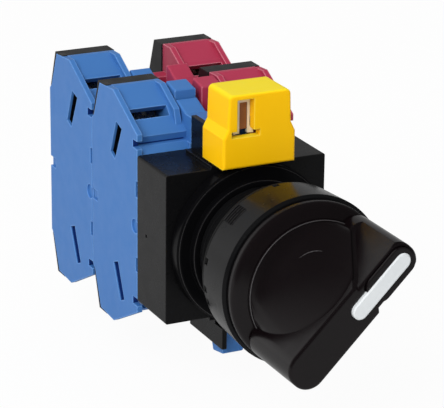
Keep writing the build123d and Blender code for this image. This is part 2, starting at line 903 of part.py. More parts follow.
def case(nose):
    outer = -block_half_width
    inside = outer + plate_thickness
    body = slab(plate_outline(0), outer, inside + 0.01)
    body += slab(body_outline, inside, -case_inner)
    rib = [
        (rib_start, slope_start + rise_per_run * rib_start),
        (slope_run, block_half_height),
        (case_depth, block_half_height - 0.1),
        (case_depth, lower_slope_start[1]),
        (rib_foot[0], lower_slope_start[1]),
        rib_foot,
    ]
    front_fill = [
        (0, core_half_height),
        (band_run, band_height + band_rise),
        (groove_floor, band_height + band_rise),
        lower_slope_start,
        slot_lower,
        (slot_lower[0], core_half_height),
    ]
    core = both_halves([(0, core_half_height), (case_depth, core_half_height)])
    body += slab(core, -case_inner - 0.01, -core_inner)
    ridge_front = block_pitch + tooth_rear + part_gap
    ridge = [
        (ridge_front, core_half_height - 1),
        (ridge_front, ridge_height),
        (ridge_front + ridge_length, ridge_height),
        (ridge_front + ridge_length, core_half_height - 1),
    ]
    for turn in (lambda points: points, flip):
        body += slab(turn(rib), -case_inner - rib_width, -case_inner)
        body += slab(turn(front_fill), -case_inner, -arm_outer)
        arm = slab(turn(latch_arm(nose)), -arm_outer, -arm_inner)
        outermost = [edge for edge in arm.edges() if abs(edge.center().Z) > arm_top + arm_edge]
        body += fillet(outermost, arm_edge)
        body += slab(turn(ridge), -arm_outer, -arm_inner)
        body -= slab(turn(terminal_room), inside + wall, -slot_inner)
        body -= slab(turn(slot_outline), inside + 0.2, -slot_inner)
        neck = [
            (strip_front - 0.3, chamber_half_height - 1),
            (strip_front - 0.3, terminal_floor + 0.5),
            (case_depth + 1, terminal_floor + 0.5),
            (case_depth + 1, chamber_half_height - 1),
        ]
        body -= slab(turn(neck), -strip_far - 0.2, -slot_inner)
        groove = [
            (-1, band_height + band_rise),
            (groove_notch_depth, band_height + band_rise),
            (groove_notch_depth, lower_slope_start[1]),
            (-1, lower_slope_start[1]),
        ]
        body -= slab(turn(groove), outer - 1, inside + 0.02)
    body -= block_of(
        (inside + wall, -case_inner - wall), (chamber_front, case_depth + 1), (-chamber_half_height, chamber_half_height)
    )
    opening = (-plunger_far - running_fit, -plunger_near + running_fit)
    tall = plunger_half_height + running_fit
    body -= block_of(opening, (-1, chamber_front + 1), (-tall, tall))
    body -= slab(window_outline, outer - 1, inside + wall / 2)
    body -= block_of((inside, inside + wall + 0.1), *window_room)
    body -= slab(narrow_outline, outer - 1, inside + seat_gap)
    for low, high in edge_notches:
        body -= block_of((outer - 1, inside), (-1, edge_notch_depth), (low, high))
    station, height = dimple_centre
    dimple = Plane(origin=(outer + dimple_depth, station, height), x_dir=(0, 1, 0), z_dir=(-1, 0, 0))
    body -= extrude(dimple * Circle(dimple_radius), dimple_depth + 1)
    body -= block_of(
        (outer - 1, outer + rear_notch_depth), (rear_notch_from, block_depth + 1), rear_notch_heights
    )
    return body


def base():
    outer = -block_half_width
    front = case_depth + seat_gap
    outline = both_halves(
        [(front, base_half_height), (base_fall_start, base_half_height), (base_depth, base_rear_height)]
    )
    body = slab(outline, outer, -base_inner)
    body -= slab(plate_outline(seat_gap), outer - 1, outer + plate_thickness + seat_gap)
    core = both_halves([(front, core_half_height), (base_depth, core_half_height)])
    body += slab(core, -base_inner - 0.01, -core_inner)
    body -= block_of(
        (-chamber_outer, -case_inner - wall),
        (front - 1, base_depth - base_floor),
        (-chamber_half_height, chamber_half_height),
    )
    seat = block_of(
        (-ear_station - spring_radius - spring_wire - 0.6, -plunger_far - 0.2),
        (front, base_depth - base_floor + 0.2),
        (-ear_half_height, ear_half_height),
    )
    body += seat
    opening = (-plunger_far - running_fit, -plunger_near + running_fit)
    tall = plunger_half_height + running_fit
    body -= block_of(opening, (front - 1, base_depth + 1), (-tall, tall))
    return body


plunger_middle = -(plunger_near + plunger_far) / 2
screw_middle = -(strip_near + strip_far) / 2
plunger_rear = plunger_front + block_pitch - seat_gap
contact_face = {
    "no": strip_front - contact_thickness - contact_gap,
    "nc": strip_front + strip_thickness + contact_thickness + contact_gap + push_travel,
}


def bridge_front(kind):
    """Station of the bridge's front face while the plunger is pushed in."""
    if kind == "no":
        return contact_face[kind] - contact_thickness - bridge_thickness
    return contact_face[kind] + contact_thickness


def plunger(kind):
    body = block_of(
        (-plunger_far, -plunger_near), (plunger_front, plunger_rear), (-plunger_half_height, plunger_half_height)
    )
    ear = block_of(
        (-ear_station - spring_radius - spring_wire, -plunger_far + 0.1),
        (ear_front, ear_front + ear_thickness),
        (-ear_half_height, ear_half_height),
    )
    body += ear
    front = bridge_front(kind)
    half = bridge_half_width + running_fit
    body -= block_of(
        (plunger_middle - half, plunger_middle + half),
        (front - running_fit, front + bridge_thickness + running_fit),
        (-plunger_half_height - 1, plunger_half_height + 1),
    )
    return body


def bridge(kind):
    front = bridge_front(kind)
    body = block_of(
        (plunger_middle - bridge_half_width, plunger_middle + bridge_half_width),
        (front, front + bridge_thickness),
        (-bridge_end, bridge_end),
    )
    for sign in (1, -1):
        start = front + bridge_thickness if kind == "no" else front - contact_thickness
        body += rod(contact_radius, start, start + contact_thickness, x=plunger_middle, z=sign * contact_height)
    return body


def terminal(kind):
    slant = clamp_plate_half / math.sqrt(2)
    low = (screw_station - slant, screw_height - slant)
    line = [
        (strip_front + strip_thickness / 2, contact_height - contact_radius - 0.2),
        (strip_front + strip_thickness / 2, low[1] - 0.3),
        (low[0] + 0.35, low[1] + 0.35),
        (screw_station + slant, screw_height + slant),
    ]
    body = strip(line, strip_thickness, -strip_far, -strip_near)
    start = strip_front - contact_thickness if kind == "no" else strip_front + strip_thickness
    body += rod(contact_radius, start, start + contact_thickness, x=plunger_middle, z=contact_height)
    axis = Plane(
        origin=(screw_middle, screw_station, screw_height), x_dir=(1, 0, 0), z_dir=(0, -1, 1)
    )
    body -= extrude(axis * Circle(screw_shank_radius + running_fit), 2, both=True)
    return body


def screw():
    axis = Plane(
        origin=(screw_middle, screw_station, screw_height), x_dir=(1, 0, 0), z_dir=(0, -1, 1)
    )
    lift = strip_thickness / 2 + seat_gap
    body = extrude(axis.offset(lift) * Circle(screw_head_radius), screw_head)
    body += extrude(axis.offset(-screw_shank) * Circle(screw_shank_radius), screw_shank + lift)
    for angle in (0, 90):
        slot = axis.offset(lift + screw_head - screw_slot_depth) * Rectangle(
            screw_slot, 1.4 * screw_head_radius, rotation=angle
        )
        body -= extrude(slot, screw_slot_depth + 1)
    return body


def spring():
    """Coil of short straight lengths with a ring section of few sides."""
    start = ear_front + ear_thickness + seat_gap + spring_wire
    height = case_depth - spring_wire - start
    radius = spring_radius - spring_wire
    steps = spring_turns * spring_sides
    points = []
    for index in range(steps + 1):
        turn = 2 * math.pi * index / spring_sides
        points.append(
            (radius * math.cos(turn) - ear_station, start + height * index / steps, radius * math.sin(turn))
        )
    path = Polyline(*points)
    section = Plane(origin=path @ 0, z_dir=path % 0) * RegularPolygon(spring_wire, wire_sides)
    return sweep(section, path=path, transition=Transition.RIGHT)


def place(shape, side, station):
    if side > 0:
        shape = mirror(shape, about=Plane.YZ)
    return Pos(0, block_front + station, block_rise) * shape


def both_screws():
    upper = screw()
    return [upper, mirror(upper, about=Plane.XY)]


columns = {"no": (-1, nose_blue), "nc": (1, nose_magenta)}
stages = {"front": 0.0, "rear": block_pitch}
for stage, station in stages.items():
    for kind, (side, nose) in columns.items():
        name = stage + "_" + kind
        upper = terminal(kind)
        parts[name + "_case"] = place(case(nose), side, station)
        parts[name + "_base"] = place(base(), side, station)
        parts[name + "_upper_terminal"] = place(upper, side, station)
        parts[name + "_lower_terminal"] = place(mirror(upper, about=Plane.XY), side, station)
        parts[name + "_terminal_screws"] = Compound(
            children=[place(item, side, station) for item in both_screws()]
        )
        parts[name + "_plunger"] = place(plunger(kind), side, station)
        parts[name + "_contact_bridge"] = place(bridge(kind), side, station)
        parts[name + "_return_spring"] = place(spring(), side, station)

for name, shape in parts.items():
    export_step(shape, os.path.join("parts", name + ".step"))
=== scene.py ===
import json
import math

import bmesh
import bpy
from mathutils import Matrix, Vector
from mathutils.bvhtree import BVHTree


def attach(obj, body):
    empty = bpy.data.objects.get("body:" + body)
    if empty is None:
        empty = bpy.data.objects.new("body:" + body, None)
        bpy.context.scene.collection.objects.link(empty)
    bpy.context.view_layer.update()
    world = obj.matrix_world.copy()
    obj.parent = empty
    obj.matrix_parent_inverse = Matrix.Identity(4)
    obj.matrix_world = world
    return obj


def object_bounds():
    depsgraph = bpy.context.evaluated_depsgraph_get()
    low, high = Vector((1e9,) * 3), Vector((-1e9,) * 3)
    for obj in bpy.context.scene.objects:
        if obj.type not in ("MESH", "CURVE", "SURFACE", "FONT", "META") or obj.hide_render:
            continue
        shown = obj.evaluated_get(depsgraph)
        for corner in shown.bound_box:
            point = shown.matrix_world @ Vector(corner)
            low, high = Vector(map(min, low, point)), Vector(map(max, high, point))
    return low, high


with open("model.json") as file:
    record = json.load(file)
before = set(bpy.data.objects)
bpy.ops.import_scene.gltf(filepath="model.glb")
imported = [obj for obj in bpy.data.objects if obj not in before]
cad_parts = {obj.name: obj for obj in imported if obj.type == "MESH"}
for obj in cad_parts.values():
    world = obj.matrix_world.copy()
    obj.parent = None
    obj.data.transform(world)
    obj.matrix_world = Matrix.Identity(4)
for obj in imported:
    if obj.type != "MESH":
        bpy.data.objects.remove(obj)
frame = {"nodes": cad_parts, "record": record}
cad_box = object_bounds()
nodes = frame["nodes"]
MM = 0.001


# Camera at the photograph's viewing angle
IMAGE_WIDTH = 444
IMAGE_HEIGHT = 408
FOCAL_PIXELS = 2346.61
CENTRE_PIXELS = (216.07, 202.48)
AZIMUTH, ELEVATION, ROLL = (math.radians(a) for a in (-25.881, 19.626, 0.614))
TARGET = Vector((0.0, 32.0, 0.0)) * MM
DISTANCE = 417.98 * MM
OFFSET = Vector((-3.637, -0.045)) * MM
SENSOR = 36.0

back = Vector((
    math.sin(AZIMUTH) * math.cos(ELEVATION),
    -math.cos(AZIMUTH) * math.cos(ELEVATION),
    math.sin(ELEVATION),
))
level_right = Vector((math.cos(AZIMUTH), math.sin(AZIMUTH), 0.0))
level_up = back.cross(level_right)
right = math.cos(ROLL) * level_right + math.sin(ROLL) * level_up
up = -math.sin(ROLL) * level_right + math.cos(ROLL) * level_up

camera_data = bpy.data.cameras.new("camera")
camera = bpy.data.objects.new("camera", camera_data)
bpy.context.scene.collection.objects.link(camera)
place = TARGET - OFFSET.x * right - OFFSET.y * up + DISTANCE * back
camera.matrix_world = Matrix((
    (right.x, up.x, back.x, place.x),
    (right.y, up.y, back.y, place.y),
    (right.z, up.z, back.z, place.z),
    (0.0, 0.0, 0.0, 1.0),
))
camera_data.sensor_width = SENSOR
camera_data.lens = FOCAL_PIXELS * SENSOR / IMAGE_WIDTH
camera_data.shift_x = (IMAGE_WIDTH / 2 - CENTRE_PIXELS[0]) / IMAGE_WIDTH
camera_data.shift_y = (CENTRE_PIXELS[1] - IMAGE_HEIGHT / 2) / IMAGE_WIDTH
camera_data.clip_start = 0.01
bpy.context.scene.camera = camera


# Materials, with sizes in millimetres
CLOUD_SIZE = 6.0
# Strength of the painted highlight along outward edges
EDGE_HIGHLIGHT_STRENGTH = 0.9


def new_material(name):
    """Empty node material with a shader joined to its output."""
    material = bpy.data.materials.new(name)
    material.use_nodes = True
    tree = material.node_tree
    tree.nodes.clear()
    output = tree.nodes.new("ShaderNodeOutputMaterial")
    shader = tree.nodes.new("ShaderNodeBsdfPrincipled")
    tree.links.new(shader.outputs["BSDF"], output.inputs["Surface"])
    return material, tree, shader


def texture_point(tree):
    """Point on the piece, in metres, on which its texture stays fixed."""
    return tree.nodes.new("ShaderNodeTexCoord").outputs["Object"]


def noise(tree, point, size, detail=2.0, roughness=0.5):
    """Noise whose features are about size millimetres across."""
    node = tree.nodes.new("ShaderNodeTexNoise")
    node.inputs["Scale"].default_value = 1.0 / (size * MM)
    node.inputs["Detail"].default_value = detail
    node.inputs["Roughness"].default_value = roughness
    tree.links.new(point, node.inputs["Vector"])
    return node.outputs["Fac"]


def spread(tree, factor, low, high):
    """Noise stretched to run from low to high."""
    node = tree.nodes.new("ShaderNodeMapRange")
    node.inputs["To Min"].default_value = low
    node.inputs["To Max"].default_value = high
    node.inputs["From Min"].default_value = 0.3
    node.inputs["From Max"].default_value = 0.7
    tree.links.new(factor, node.inputs["Value"])
    return node.outputs["Result"]


def two_tones(tree, factor, first, second):
    """Colour that drifts between two tones."""
    node = tree.nodes.new("ShaderNodeMix")
    node.data_type = "RGBA"
    node.inputs["A"].default_value = (*first, 1.0)
    node.inputs["B"].default_value = (*second, 1.0)
    tree.links.new(factor, node.inputs["Factor"])
    return node.outputs["Result"]


def rounded_normal(tree, radius):
    """Normal that rounds edges off over a small radius."""
    bevel = tree.nodes.new("ShaderNodeBevel")
    bevel.samples = 4
    bevel.inputs["Radius"].default_value = radius * MM
    return bevel.outputs["Normal"]


def painted_top_light(tree, colour, pale):
    """Colour that turns paler where the surface faces up: painted light on up-facing faces."""
    geometry = tree.nodes.new("ShaderNodeNewGeometry")
    split = tree.nodes.new("ShaderNodeSeparateXYZ")
    tree.links.new(geometry.outputs["True Normal"], split.inputs["Vector"])
    turn = tree.nodes.new("ShaderNodeMapRange")
    turn.interpolation_type = "SMOOTHSTEP"
    turn.inputs["From Min"].default_value = 0.2
    turn.inputs["From Max"].default_value = 0.95
    turn.inputs["To Max"].default_value = 0.85
    tree.links.new(split.outputs["Z"], turn.inputs["Value"])
    mix = tree.nodes.new("ShaderNodeMix")
    mix.data_type = "RGBA"
    tree.links.new(turn.outputs["Result"], mix.inputs["Factor"])
    tree.links.new(colour, mix.inputs["A"])
    mix.inputs["B"].default_value = (*pale, 1.0)
    return mix.outputs["Result"]


def edge_highlight_mask(tree, reach, strength):
    """A value that is 0 on flats and rises to strength along outward edges: the mask of a painted edge
    highlight.
    """
    inward = tree.nodes.new("ShaderNodeAmbientOcclusion")
    inward.inside = True
    inward.only_local = True
    inward.samples = 8
    inward.inputs["Distance"].default_value = reach * MM
    turn = tree.nodes.new("ShaderNodeMapRange")
    turn.inputs["From Min"].default_value = 0.92
    turn.inputs["From Max"].default_value = 0.45
    turn.inputs["To Max"].default_value = strength
    tree.links.new(inward.outputs["AO"], turn.inputs["Value"])
    return turn.outputs["Result"]


def moulded(name, colour, darker, rough=(0.35, 0.45), grain=0.25, grain_height=0.02, edge=0.25,
            edge_highlight_colour=None, specular=0.5, edge_highlight_reach=0.22, top_light_colour=None):
    """Moulded plastic: cloudy tone, fine mould grain, rounded edges, and where asked a painted highlight
    along outward edges and painted light on up-facing faces.
    """
    material, tree, shader = new_material(name)
    point = texture_point(tree)
    cloud = noise(tree, point, CLOUD_SIZE, 3.0)
    colour_now = two_tones(tree, cloud, darker, colour)
    normal = rounded_normal(tree, edge)
    # Painted light: up-facing faces turned paler
    if top_light_colour:
        colour_now = painted_top_light(tree, colour_now, top_light_colour)
    # Painted highlight: outward edges lifted towards a lighter colour
    if edge_highlight_colour:
        lift = tree.nodes.new("ShaderNodeMix")
        lift.data_type = "RGBA"
        tree.links.new(edge_highlight_mask(tree, edge_highlight_reach, EDGE_HIGHLIGHT_STRENGTH), lift.inputs["Factor"])
        tree.links.new(colour_now, lift.inputs["A"])
        lift.inputs["B"].default_value = (*edge_highlight_colour, 1.0)
        colour_now = lift.outputs["Result"]
    tree.links.new(colour_now, shader.inputs["Base Color"])
    sheen = spread(tree, noise(tree, point, CLOUD_SIZE * 0.4, 2.0), *rough)
    tree.links.new(sheen, shader.inputs["Roughness"])
    bump = tree.nodes.new("ShaderNodeBump")
    bump.inputs["Distance"].default_value = grain_height * MM
    bump.inputs["Strength"].default_value = 0.5
    tree.links.new(noise(tree, point, grain, 3.0, 0.6), bump.inputs["Height"])
    tree.links.new(normal, bump.inputs["Normal"])
    tree.links.new(bump.outputs["Normal"], shader.inputs["Normal"])
    shader.inputs["Specular IOR Level"].default_value = specular
    return material


def metal(name, colour, darker, rough=(0.22, 0.38), grain=0.3, metallic=1.0):
    """Metal with a cloudy tone and fine grain."""
    material, tree, shader = new_material(name)
    point = texture_point(tree)
    tone = two_tones(tree, noise(tree, point, grain * 4, 4.0), darker, colour)
    tree.links.new(tone, shader.inputs["Base Color"])
    tree.links.new(spread(tree, noise(tree, point, grain, 3.0), *rough), shader.inputs["Roughness"])
    shader.inputs["Metallic"].default_value = metallic
    normal = rounded_normal(tree, 0.08)
    bump = tree.nodes.new("ShaderNodeBump")
    bump.inputs["Distance"].default_value = 0.004 * MM
    bump.inputs["Strength"].default_value = 0.4
    tree.links.new(noise(tree, point, grain, 2.0), bump.inputs["Height"])
    tree.links.new(normal, bump.inputs["Normal"])
    tree.links.new(bump.outputs["Normal"], shader.inputs["Normal"])
    return material


# Lighter black used as a painted highlight along outward edges
BLACK_EDGE_HIGHLIGHT = (0.03, 0.029, 0.03)
materials = {
    "knob_black": moulded(
        "knob_black", (0.0046, 0.0026, 0.0032), (0.0034, 0.002, 0.0025), (0.18, 0.24), 0.35, 0.003,
        0.3, specular=0.32,
    ),
    "insert_white": moulded(
        "insert_white", (0.78, 0.81, 0.82), (0.7, 0.73, 0.75), (0.3, 0.4), 0.4, 0.004, 0.15,
    ),
    "bezel_black": moulded(
        "bezel_black", (0.006, 0.006, 0.0065), (0.0045, 0.0045, 0.005), (0.22, 0.28), 0.4, 0.003,
        0.25, specular=0.115,
    ),
    "gasket_rubber": moulded(
        "gasket_rubber", (0.012, 0.012, 0.012), (0.008, 0.008, 0.008), (0.6, 0.75), 0.15, 0.02,
        0.15, specular=0.2,
    ),
    "nut_black": moulded(
        "nut_black", (0.0035, 0.0035, 0.004), (0.0025, 0.0025, 0.003), (0.2, 0.26), 0.3, 0.004,
        0.25, specular=0.05,
    ),
    "seal_rubber": moulded(
        "seal_rubber", (0.02, 0.02, 0.02), (0.014, 0.014, 0.014), (0.6, 0.75), 0.15, 0.02, 0.1,
        specular=0.2,
    ),
    "cam_plastic": moulded("cam_plastic", (0.7, 0.7, 0.66), (0.6, 0.6, 0.56), (0.4, 0.5), 0.3, 0.01, 0.15),
    "cover_black": moulded(
        "cover_black", (0.012, 0.012, 0.012), (0.008, 0.008, 0.008), (0.45, 0.55), 0.25, 0.015,
        0.15, specular=0.2,
    ),
    "pusher_plastic": moulded(
        "pusher_plastic", (0.72, 0.72, 0.68), (0.62, 0.62, 0.58), (0.4, 0.5), 0.3, 0.01, 0.15,
    ),
    "adaptor_black": moulded(
        "adaptor_black", (0.006, 0.006, 0.0065), (0.0045, 0.0045, 0.005), (0.24, 0.32), 0.22,
        0.008, 0.2, BLACK_EDGE_HIGHLIGHT, specular=0.11,
    ),
    "collar_black": moulded(
        "collar_black", (0.01, 0.01, 0.01), (0.007, 0.007, 0.007), (0.45, 0.55), 0.25, 0.015, 0.15,
        BLACK_EDGE_HIGHLIGHT, specular=0.3,
    ),
    # Yellow cap: painted light on up-facing faces and a painted highlight along its edges
    "lock_yellow": moulded(
        "lock_yellow", (1.0, 0.57, 0.004), (0.98, 0.53, 0.003), (0.3, 0.4), 0.3, 0.008, 0.3,
        (1.0, 0.74, 0.08), specular=0.06, top_light_colour=(0.92, 0.76, 0.02),
    ),
    # Lighter blue and magenta along outward edges are a painted highlight
    "case_blue": moulded(
        "case_blue", (0.056, 0.19, 0.5), (0.05, 0.175, 0.47), (0.36, 0.46), 0.28, 0.01, 0.2,
        (0.17, 0.38, 0.8), specular=0.2, edge_highlight_reach=0.28,
    ),
    "case_magenta": moulded(
        "case_magenta", (0.45, 0.042, 0.092), (0.4, 0.033, 0.077), (0.36, 0.46), 0.28, 0.01, 0.2,
        (0.8, 0.27, 0.34), specular=0.2, edge_highlight_reach=0.28,
    ),
    "base_black": moulded(
        "base_black", (0.011, 0.011, 0.0115), (0.008, 0.008, 0.0085), (0.25, 0.35), 0.25, 0.01,
        0.2, BLACK_EDGE_HIGHLIGHT, specular=0.07,
    ),
    "plunger_plastic": moulded(
        "plunger_plastic", (0.62, 0.62, 0.58), (0.54, 0.54, 0.5), (0.4, 0.5), 0.3, 0.01, 0.15,
    ),
    "spring_steel": metal("spring_steel", (0.72, 0.72, 0.7), (0.6, 0.6, 0.58)),
    "leaf_copper": metal("leaf_copper", (0.36, 0.15, 0.06), (0.24, 0.09, 0.035), (0.3, 0.45), metallic=0.3),
    "terminal_brass": metal("terminal_brass", (0.78, 0.6, 0.32), (0.66, 0.48, 0.24)),
    "screw_steel": metal("screw_steel", (0.75, 0.74, 0.7), (0.6, 0.59, 0.56)),
    "bridge_copper": metal("bridge_copper", (0.72, 0.4, 0.25), (0.58, 0.3, 0.17)),
}
# Lighter black for fine beads that stand for glints: painted highlight
painted_gloss_highlight = moulded(
    "painted_gloss_highlight", (0.06, 0.055, 0.057), (0.045, 0.042, 0.044), (0.2, 0.28), 0.3, 0.002, 0.05, specular=0.8,
)
# Lighter black for fine beads that stand for soft edge glints: painted highlight
painted_soft_highlight = moulded(
    "painted_soft_highlight", (0.02, 0.019, 0.02), (0.014, 0.013, 0.014), (0.25, 0.32), 0.3, 0.002, 0.05, specular=0.45,
)
# Near-black for the insides of the windows: painted shade
slot_painted_shade = moulded(
    "slot_painted_shade", (0.004, 0.005, 0.007), (0.003, 0.0035, 0.005), (0.5, 0.6), 0.3, 0.004, 0.05, specular=0.1,
)
clip_bright = metal("clip_bright", (0.92, 0.9, 0.84), (0.84, 0.8, 0.72), (0.35, 0.5), metallic=0.25)
# Dark blue and dark magenta for slots, grooves and notches: painted shade
groove_shade_blue = moulded(
    "groove_shade_blue", (0.008, 0.03, 0.16), (0.006, 0.025, 0.14), (0.4, 0.5), 0.28, 0.006, 0.05, specular=0.1,
)
groove_shade_magenta = moulded(
    "groove_shade_magenta", (0.11, 0.008, 0.02), (0.09, 0.006, 0.016), (0.4, 0.5), 0.28, 0.006, 0.05, specular=0.1,
)
slot_of = {entry["node"]: entry["material_slot"] for entry in frame["record"]["subparts"]}
for name, node in nodes.items():
    node.data.materials.clear()
    node.data.materials.append(clip_bright if name == "lock_clip" else materials[slot_of[name]])


# Detail pieces, in millimetres, in the same frame as the solids
BEAD_SIDES = 8
BEAD_TURNS = [math.tau * i / BEAD_SIDES for i in range(BEAD_SIDES)]


def add_piece(name, points, faces, body, material, smooth=35.0):
    """Mesh from points in millimetres that moves with a body."""
    mesh = bpy.data.meshes.new(name)
    mesh.from_pydata([tuple(value * MM for value in point) for point in points], [], faces)
    mesh.validate()
    shape = bmesh.new()
    shape.from_mesh(mesh)
    bmesh.ops.remove_doubles(shape, verts=shape.verts, dist=1e-7)
    bmesh.ops.recalc_face_normals(shape, faces=shape.faces)
    shape.to_mesh(mesh)
    shape.free()
    mesh.polygons.foreach_set("use_smooth", [True] * len(mesh.polygons))
    mesh.set_sharp_from_angle(angle=math.radians(smooth))
    mesh.materials.append(material)
    piece = bpy.data.objects.new(name, mesh)
    bpy.context.scene.collection.objects.link(piece)
    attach(piece, body)
    return piece


def sweep(name, rings, body, material, closed=False, smooth=35.0):
    """Solid through a row of equal rings, capped at its ends unless it closes."""
    count = len(rings[0])
    points = [point for ring in rings for point in ring]
    faces = []
    spans = len(rings) if closed else len(rings) - 1
    for row in range(spans):
        after = (row + 1) % len(rings)
        for column in range(count):
            step = (column + 1) % count
            faces.append((
                row * count + column, row * count + step, after * count + step, after * count + column,
            ))
    if not closed:
        faces.append(tuple(range(count)))
        faces.append(tuple(range(len(points) - count, len(points))))
    return add_piece(name, points, faces, body, material, smooth)


def turned(name, profile, body, material, start=0.0, end=360.0, steps=120, smooth=35.0):
    """Profile of (radius, station) turned about the operator's axis, by angles seen from the front."""
    closed = abs(end - start) >= 360.0
    count = steps if closed else steps + 1
    angles = [math.radians(start + (end - start) * i / steps) for i in range(count)]
    rings = [
        [(radius * math.cos(a), station, radius * math.sin(a)) for radius, station in profile]
        for a in angles
    ]
    return sweep(name, rings, body, material, closed, smooth)


def bead(name, radius, station, thickness, body, slot, material, start=0.0, end=360.0, steps=120):
    """Fine rounded line along a moulded edge, which carries a painted highlight."""
    profile = [
        (radius + thickness * math.cos(turn), station + thickness * math.sin(turn)) for turn in BEAD_TURNS
    ]
    return turned(name, profile, body, material, start, end, steps, 60.0)


def in_knob(point):
    """From the knob's own frame, with its fin upright, to where the knob rests."""
    x, y, z = point
    turn = math.radians(MARKER_ANGLE)
    return (x * math.cos(turn) + z * math.sin(turn), y, z * math.cos(turn) - x * math.sin(turn))


MARKER_ANGLE = 45.0
CREST_RADIUS = 11.6
DISH_STATION = -13.0
FIN_SIDE = 3.5
FIN_TOP = -25.6
RIDGE_FOOT = (11.0, -15.5)
RIDGE_TOP = (3.5, -26.4)
SCOOP_ROWS = 64
SCOOP_COLUMNS = 26
SCOOP_POWER = 2.3
SCOOP_FILL = 1.15
SCOOP_CLEARANCE = 0.3
SCOOP_FLOOR = 0.05
CREST_THICKNESS = 0.1
CREST_STEPS = 90
RIM_PROFILE = [
    (13.0, -10.4), (14.22, -10.4), (14.22, -10.95), (14.18, -11.2), (14.06, -11.44), (13.85, -11.66),
    (13.55, -11.84), (13.2, -11.98), (12.8, -12.12), (12.4, -12.27), (12.0, -12.43), (11.64, -12.58),
    (11.64, -12.2),
]
GRIP_STATIONS = (-1.63, -2.36, -3.08, -3.81, -4.53)
GRIP_RADIUS = 14.34
GRIP_TAPER = 0.056
GRIP_ANGLES = (124.6, 138.4)


def scoop_top(height, reach):
    """Station where the scoop runs out on the fin's side, behind the ridge at its upper end."""
    lens = DISH_STATION + (FIN_TOP - DISH_STATION) * math.sqrt(max(0.0, 1.0 - (height / reach) ** 2))
    slope = (RIDGE_FOOT[1] - RIDGE_TOP[1]) / (RIDGE_FOOT[0] - RIDGE_TOP[0])
    ridge = RIDGE_TOP[1] + slope * (height - RIDGE_TOP[0]) + SCOOP_CLEARANCE
    return max(lens, ridge)


def finger_scoop(name, side):
    """Hollow that sweeps in one curve from the crest up the side of the fin."""
    edge = CREST_RADIUS - 0.14
    inner = FIN_SIDE - 0.05
    reach = math.sqrt(edge ** 2 - FIN_SIDE ** 2) - 0.02
    rings = []
    for row in range(SCOOP_ROWS + 1):
        height = -reach * math.cos(math.pi * row / SCOOP_ROWS)
        far = math.sqrt(edge ** 2 - height ** 2)
        top = scoop_top(height, reach)
        power = SCOOP_POWER - SCOOP_FILL * (abs(height) / reach) ** 3
        ring = []
        for column in range(SCOOP_COLUMNS + 1):
            share = 1.0 - column / SCOOP_COLUMNS
            across = far - (far - inner) * share
            depth = DISH_STATION + (top - DISH_STATION) * share ** power
            ring.append(in_knob((side * across, depth, height)))
        ring.append(in_knob((side * far, DISH_STATION + SCOOP_FLOOR, height)))
        ring.append(in_knob((side * inner, DISH_STATION + SCOOP_FLOOR, height)))
        rings.append(ring)
    return sweep(name, rings, "knob", materials["knob_black"], smooth=50.0)


for side, name in ((-1, "left"), (1, "right")):
    finger_scoop("scoop_" + name, side)
gap_angle = math.degrees(math.asin(FIN_SIDE / CREST_RADIUS))
fin_angle = 90.0 - MARKER_ANGLE
# Painted highlight: a lighter bead along the crest of the dish on both sides of the fin
for half, half_turn in (("upper", 0.0), ("lower", 180.0)):
    bead(
        "crest_highlight_" + half, CREST_RADIUS - 0.06, DISH_STATION + 0.02, CREST_THICKNESS,
        "knob", "knob_black", painted_gloss_highlight,
        fin_angle + half_turn + gap_angle, fin_angle + half_turn + 180.0 - gap_angle, CREST_STEPS,
    )
turned("knob_rim", RIM_PROFILE, "knob", materials["knob_black"], smooth=50.0)
# Painted highlight: lighter beads across the bezel's grip and round the ring nut's front and collar
for index, station in enumerate(GRIP_STATIONS):
    bead(
        f"grip_highlight_{index + 1}", GRIP_RADIUS + GRIP_TAPER * (-1 - station), station, 0.1,
        "panel_side", "bezel_black", painted_soft_highlight, *GRIP_ANGLES, 12,
    )
bead("nut_front_highlight", 13.96, 8.74, 0.07, "panel_side", "nut_black", painted_soft_highlight)
bead("nut_collar_highlight", 11.87, 7.3, 0.08, "panel_side", "nut_black", painted_soft_highlight)


# Fine thread on the barrel
def barrel_thread(name, radius, pitch, start, end, thickness):
    """Screw-shaped ridge with a blunt crest."""
    per_turn = 40
    crest = thickness * 0.15
    section = ((-0.05, -thickness), (thickness, -crest), (thickness, crest), (-0.05, thickness))
    count = int((end - start) / pitch * per_turn)
    rings = []
    for i in range(count + 1):
        turn = math.tau * i / per_turn
        station = start + pitch * i / per_turn
        ring = []
        for lift, shift in section:
            out = radius + lift
            ring.append((out * math.cos(turn), station + shift, out * math.sin(turn)))
        rings.append(ring)
    return sweep(name, rings, "panel_side", materials["bezel_black"], smooth=30.0)


barrel_thread("barrel_thread", 10.9, 1.0, 0.45, 6.7, 0.2)


# Painted shade: dark sheets on the floors and walls of the openings, grooves and notches in the side plates
def slab_piece(name, outline, near, far, slot, material):
    """Thin plate with this outline between two distances from the middle."""
    rings = [[(across, station, height) for station, height in outline] for across in (near, far)]
    return sweep(name, rings, "panel_side", material, smooth=20.0)


BLOCK_FRONT = 23.9
BLOCK_RISE = 0.7
BLOCK_PITCH = 20.0
NARROW = [(8.33, -9.64), (10.36, -10.42), (7.39, -16.66), (5.62, -15.87)]
WINDOW = [(8.97, 16.16), (6.54, 15.49), (9.53, 9.14), (11.46, 10.02)]
ROOM = [(5.65, 8.65), (12.85, 8.65), (12.85, 16.55), (5.65, 16.55)]
LINER = 0.08
SLOT_FLOOR = (14.1, 13.99)
SLOT_LINING = (14.75, 14.05)
WINDOW_FLOOR = (13.05, 12.92)
WINDOW_LINING = (14.5, 14.02)
GROOVE_HEIGHTS = (13.74, 15.06)
GROOVE_STATIONS = (2.44, 2.52)
GROOVE_REACH = (13.98, 5.1)
NOTCH_STATIONS = (1.78, 1.87)
NOTCH_REACH = (14.9, 14.0)


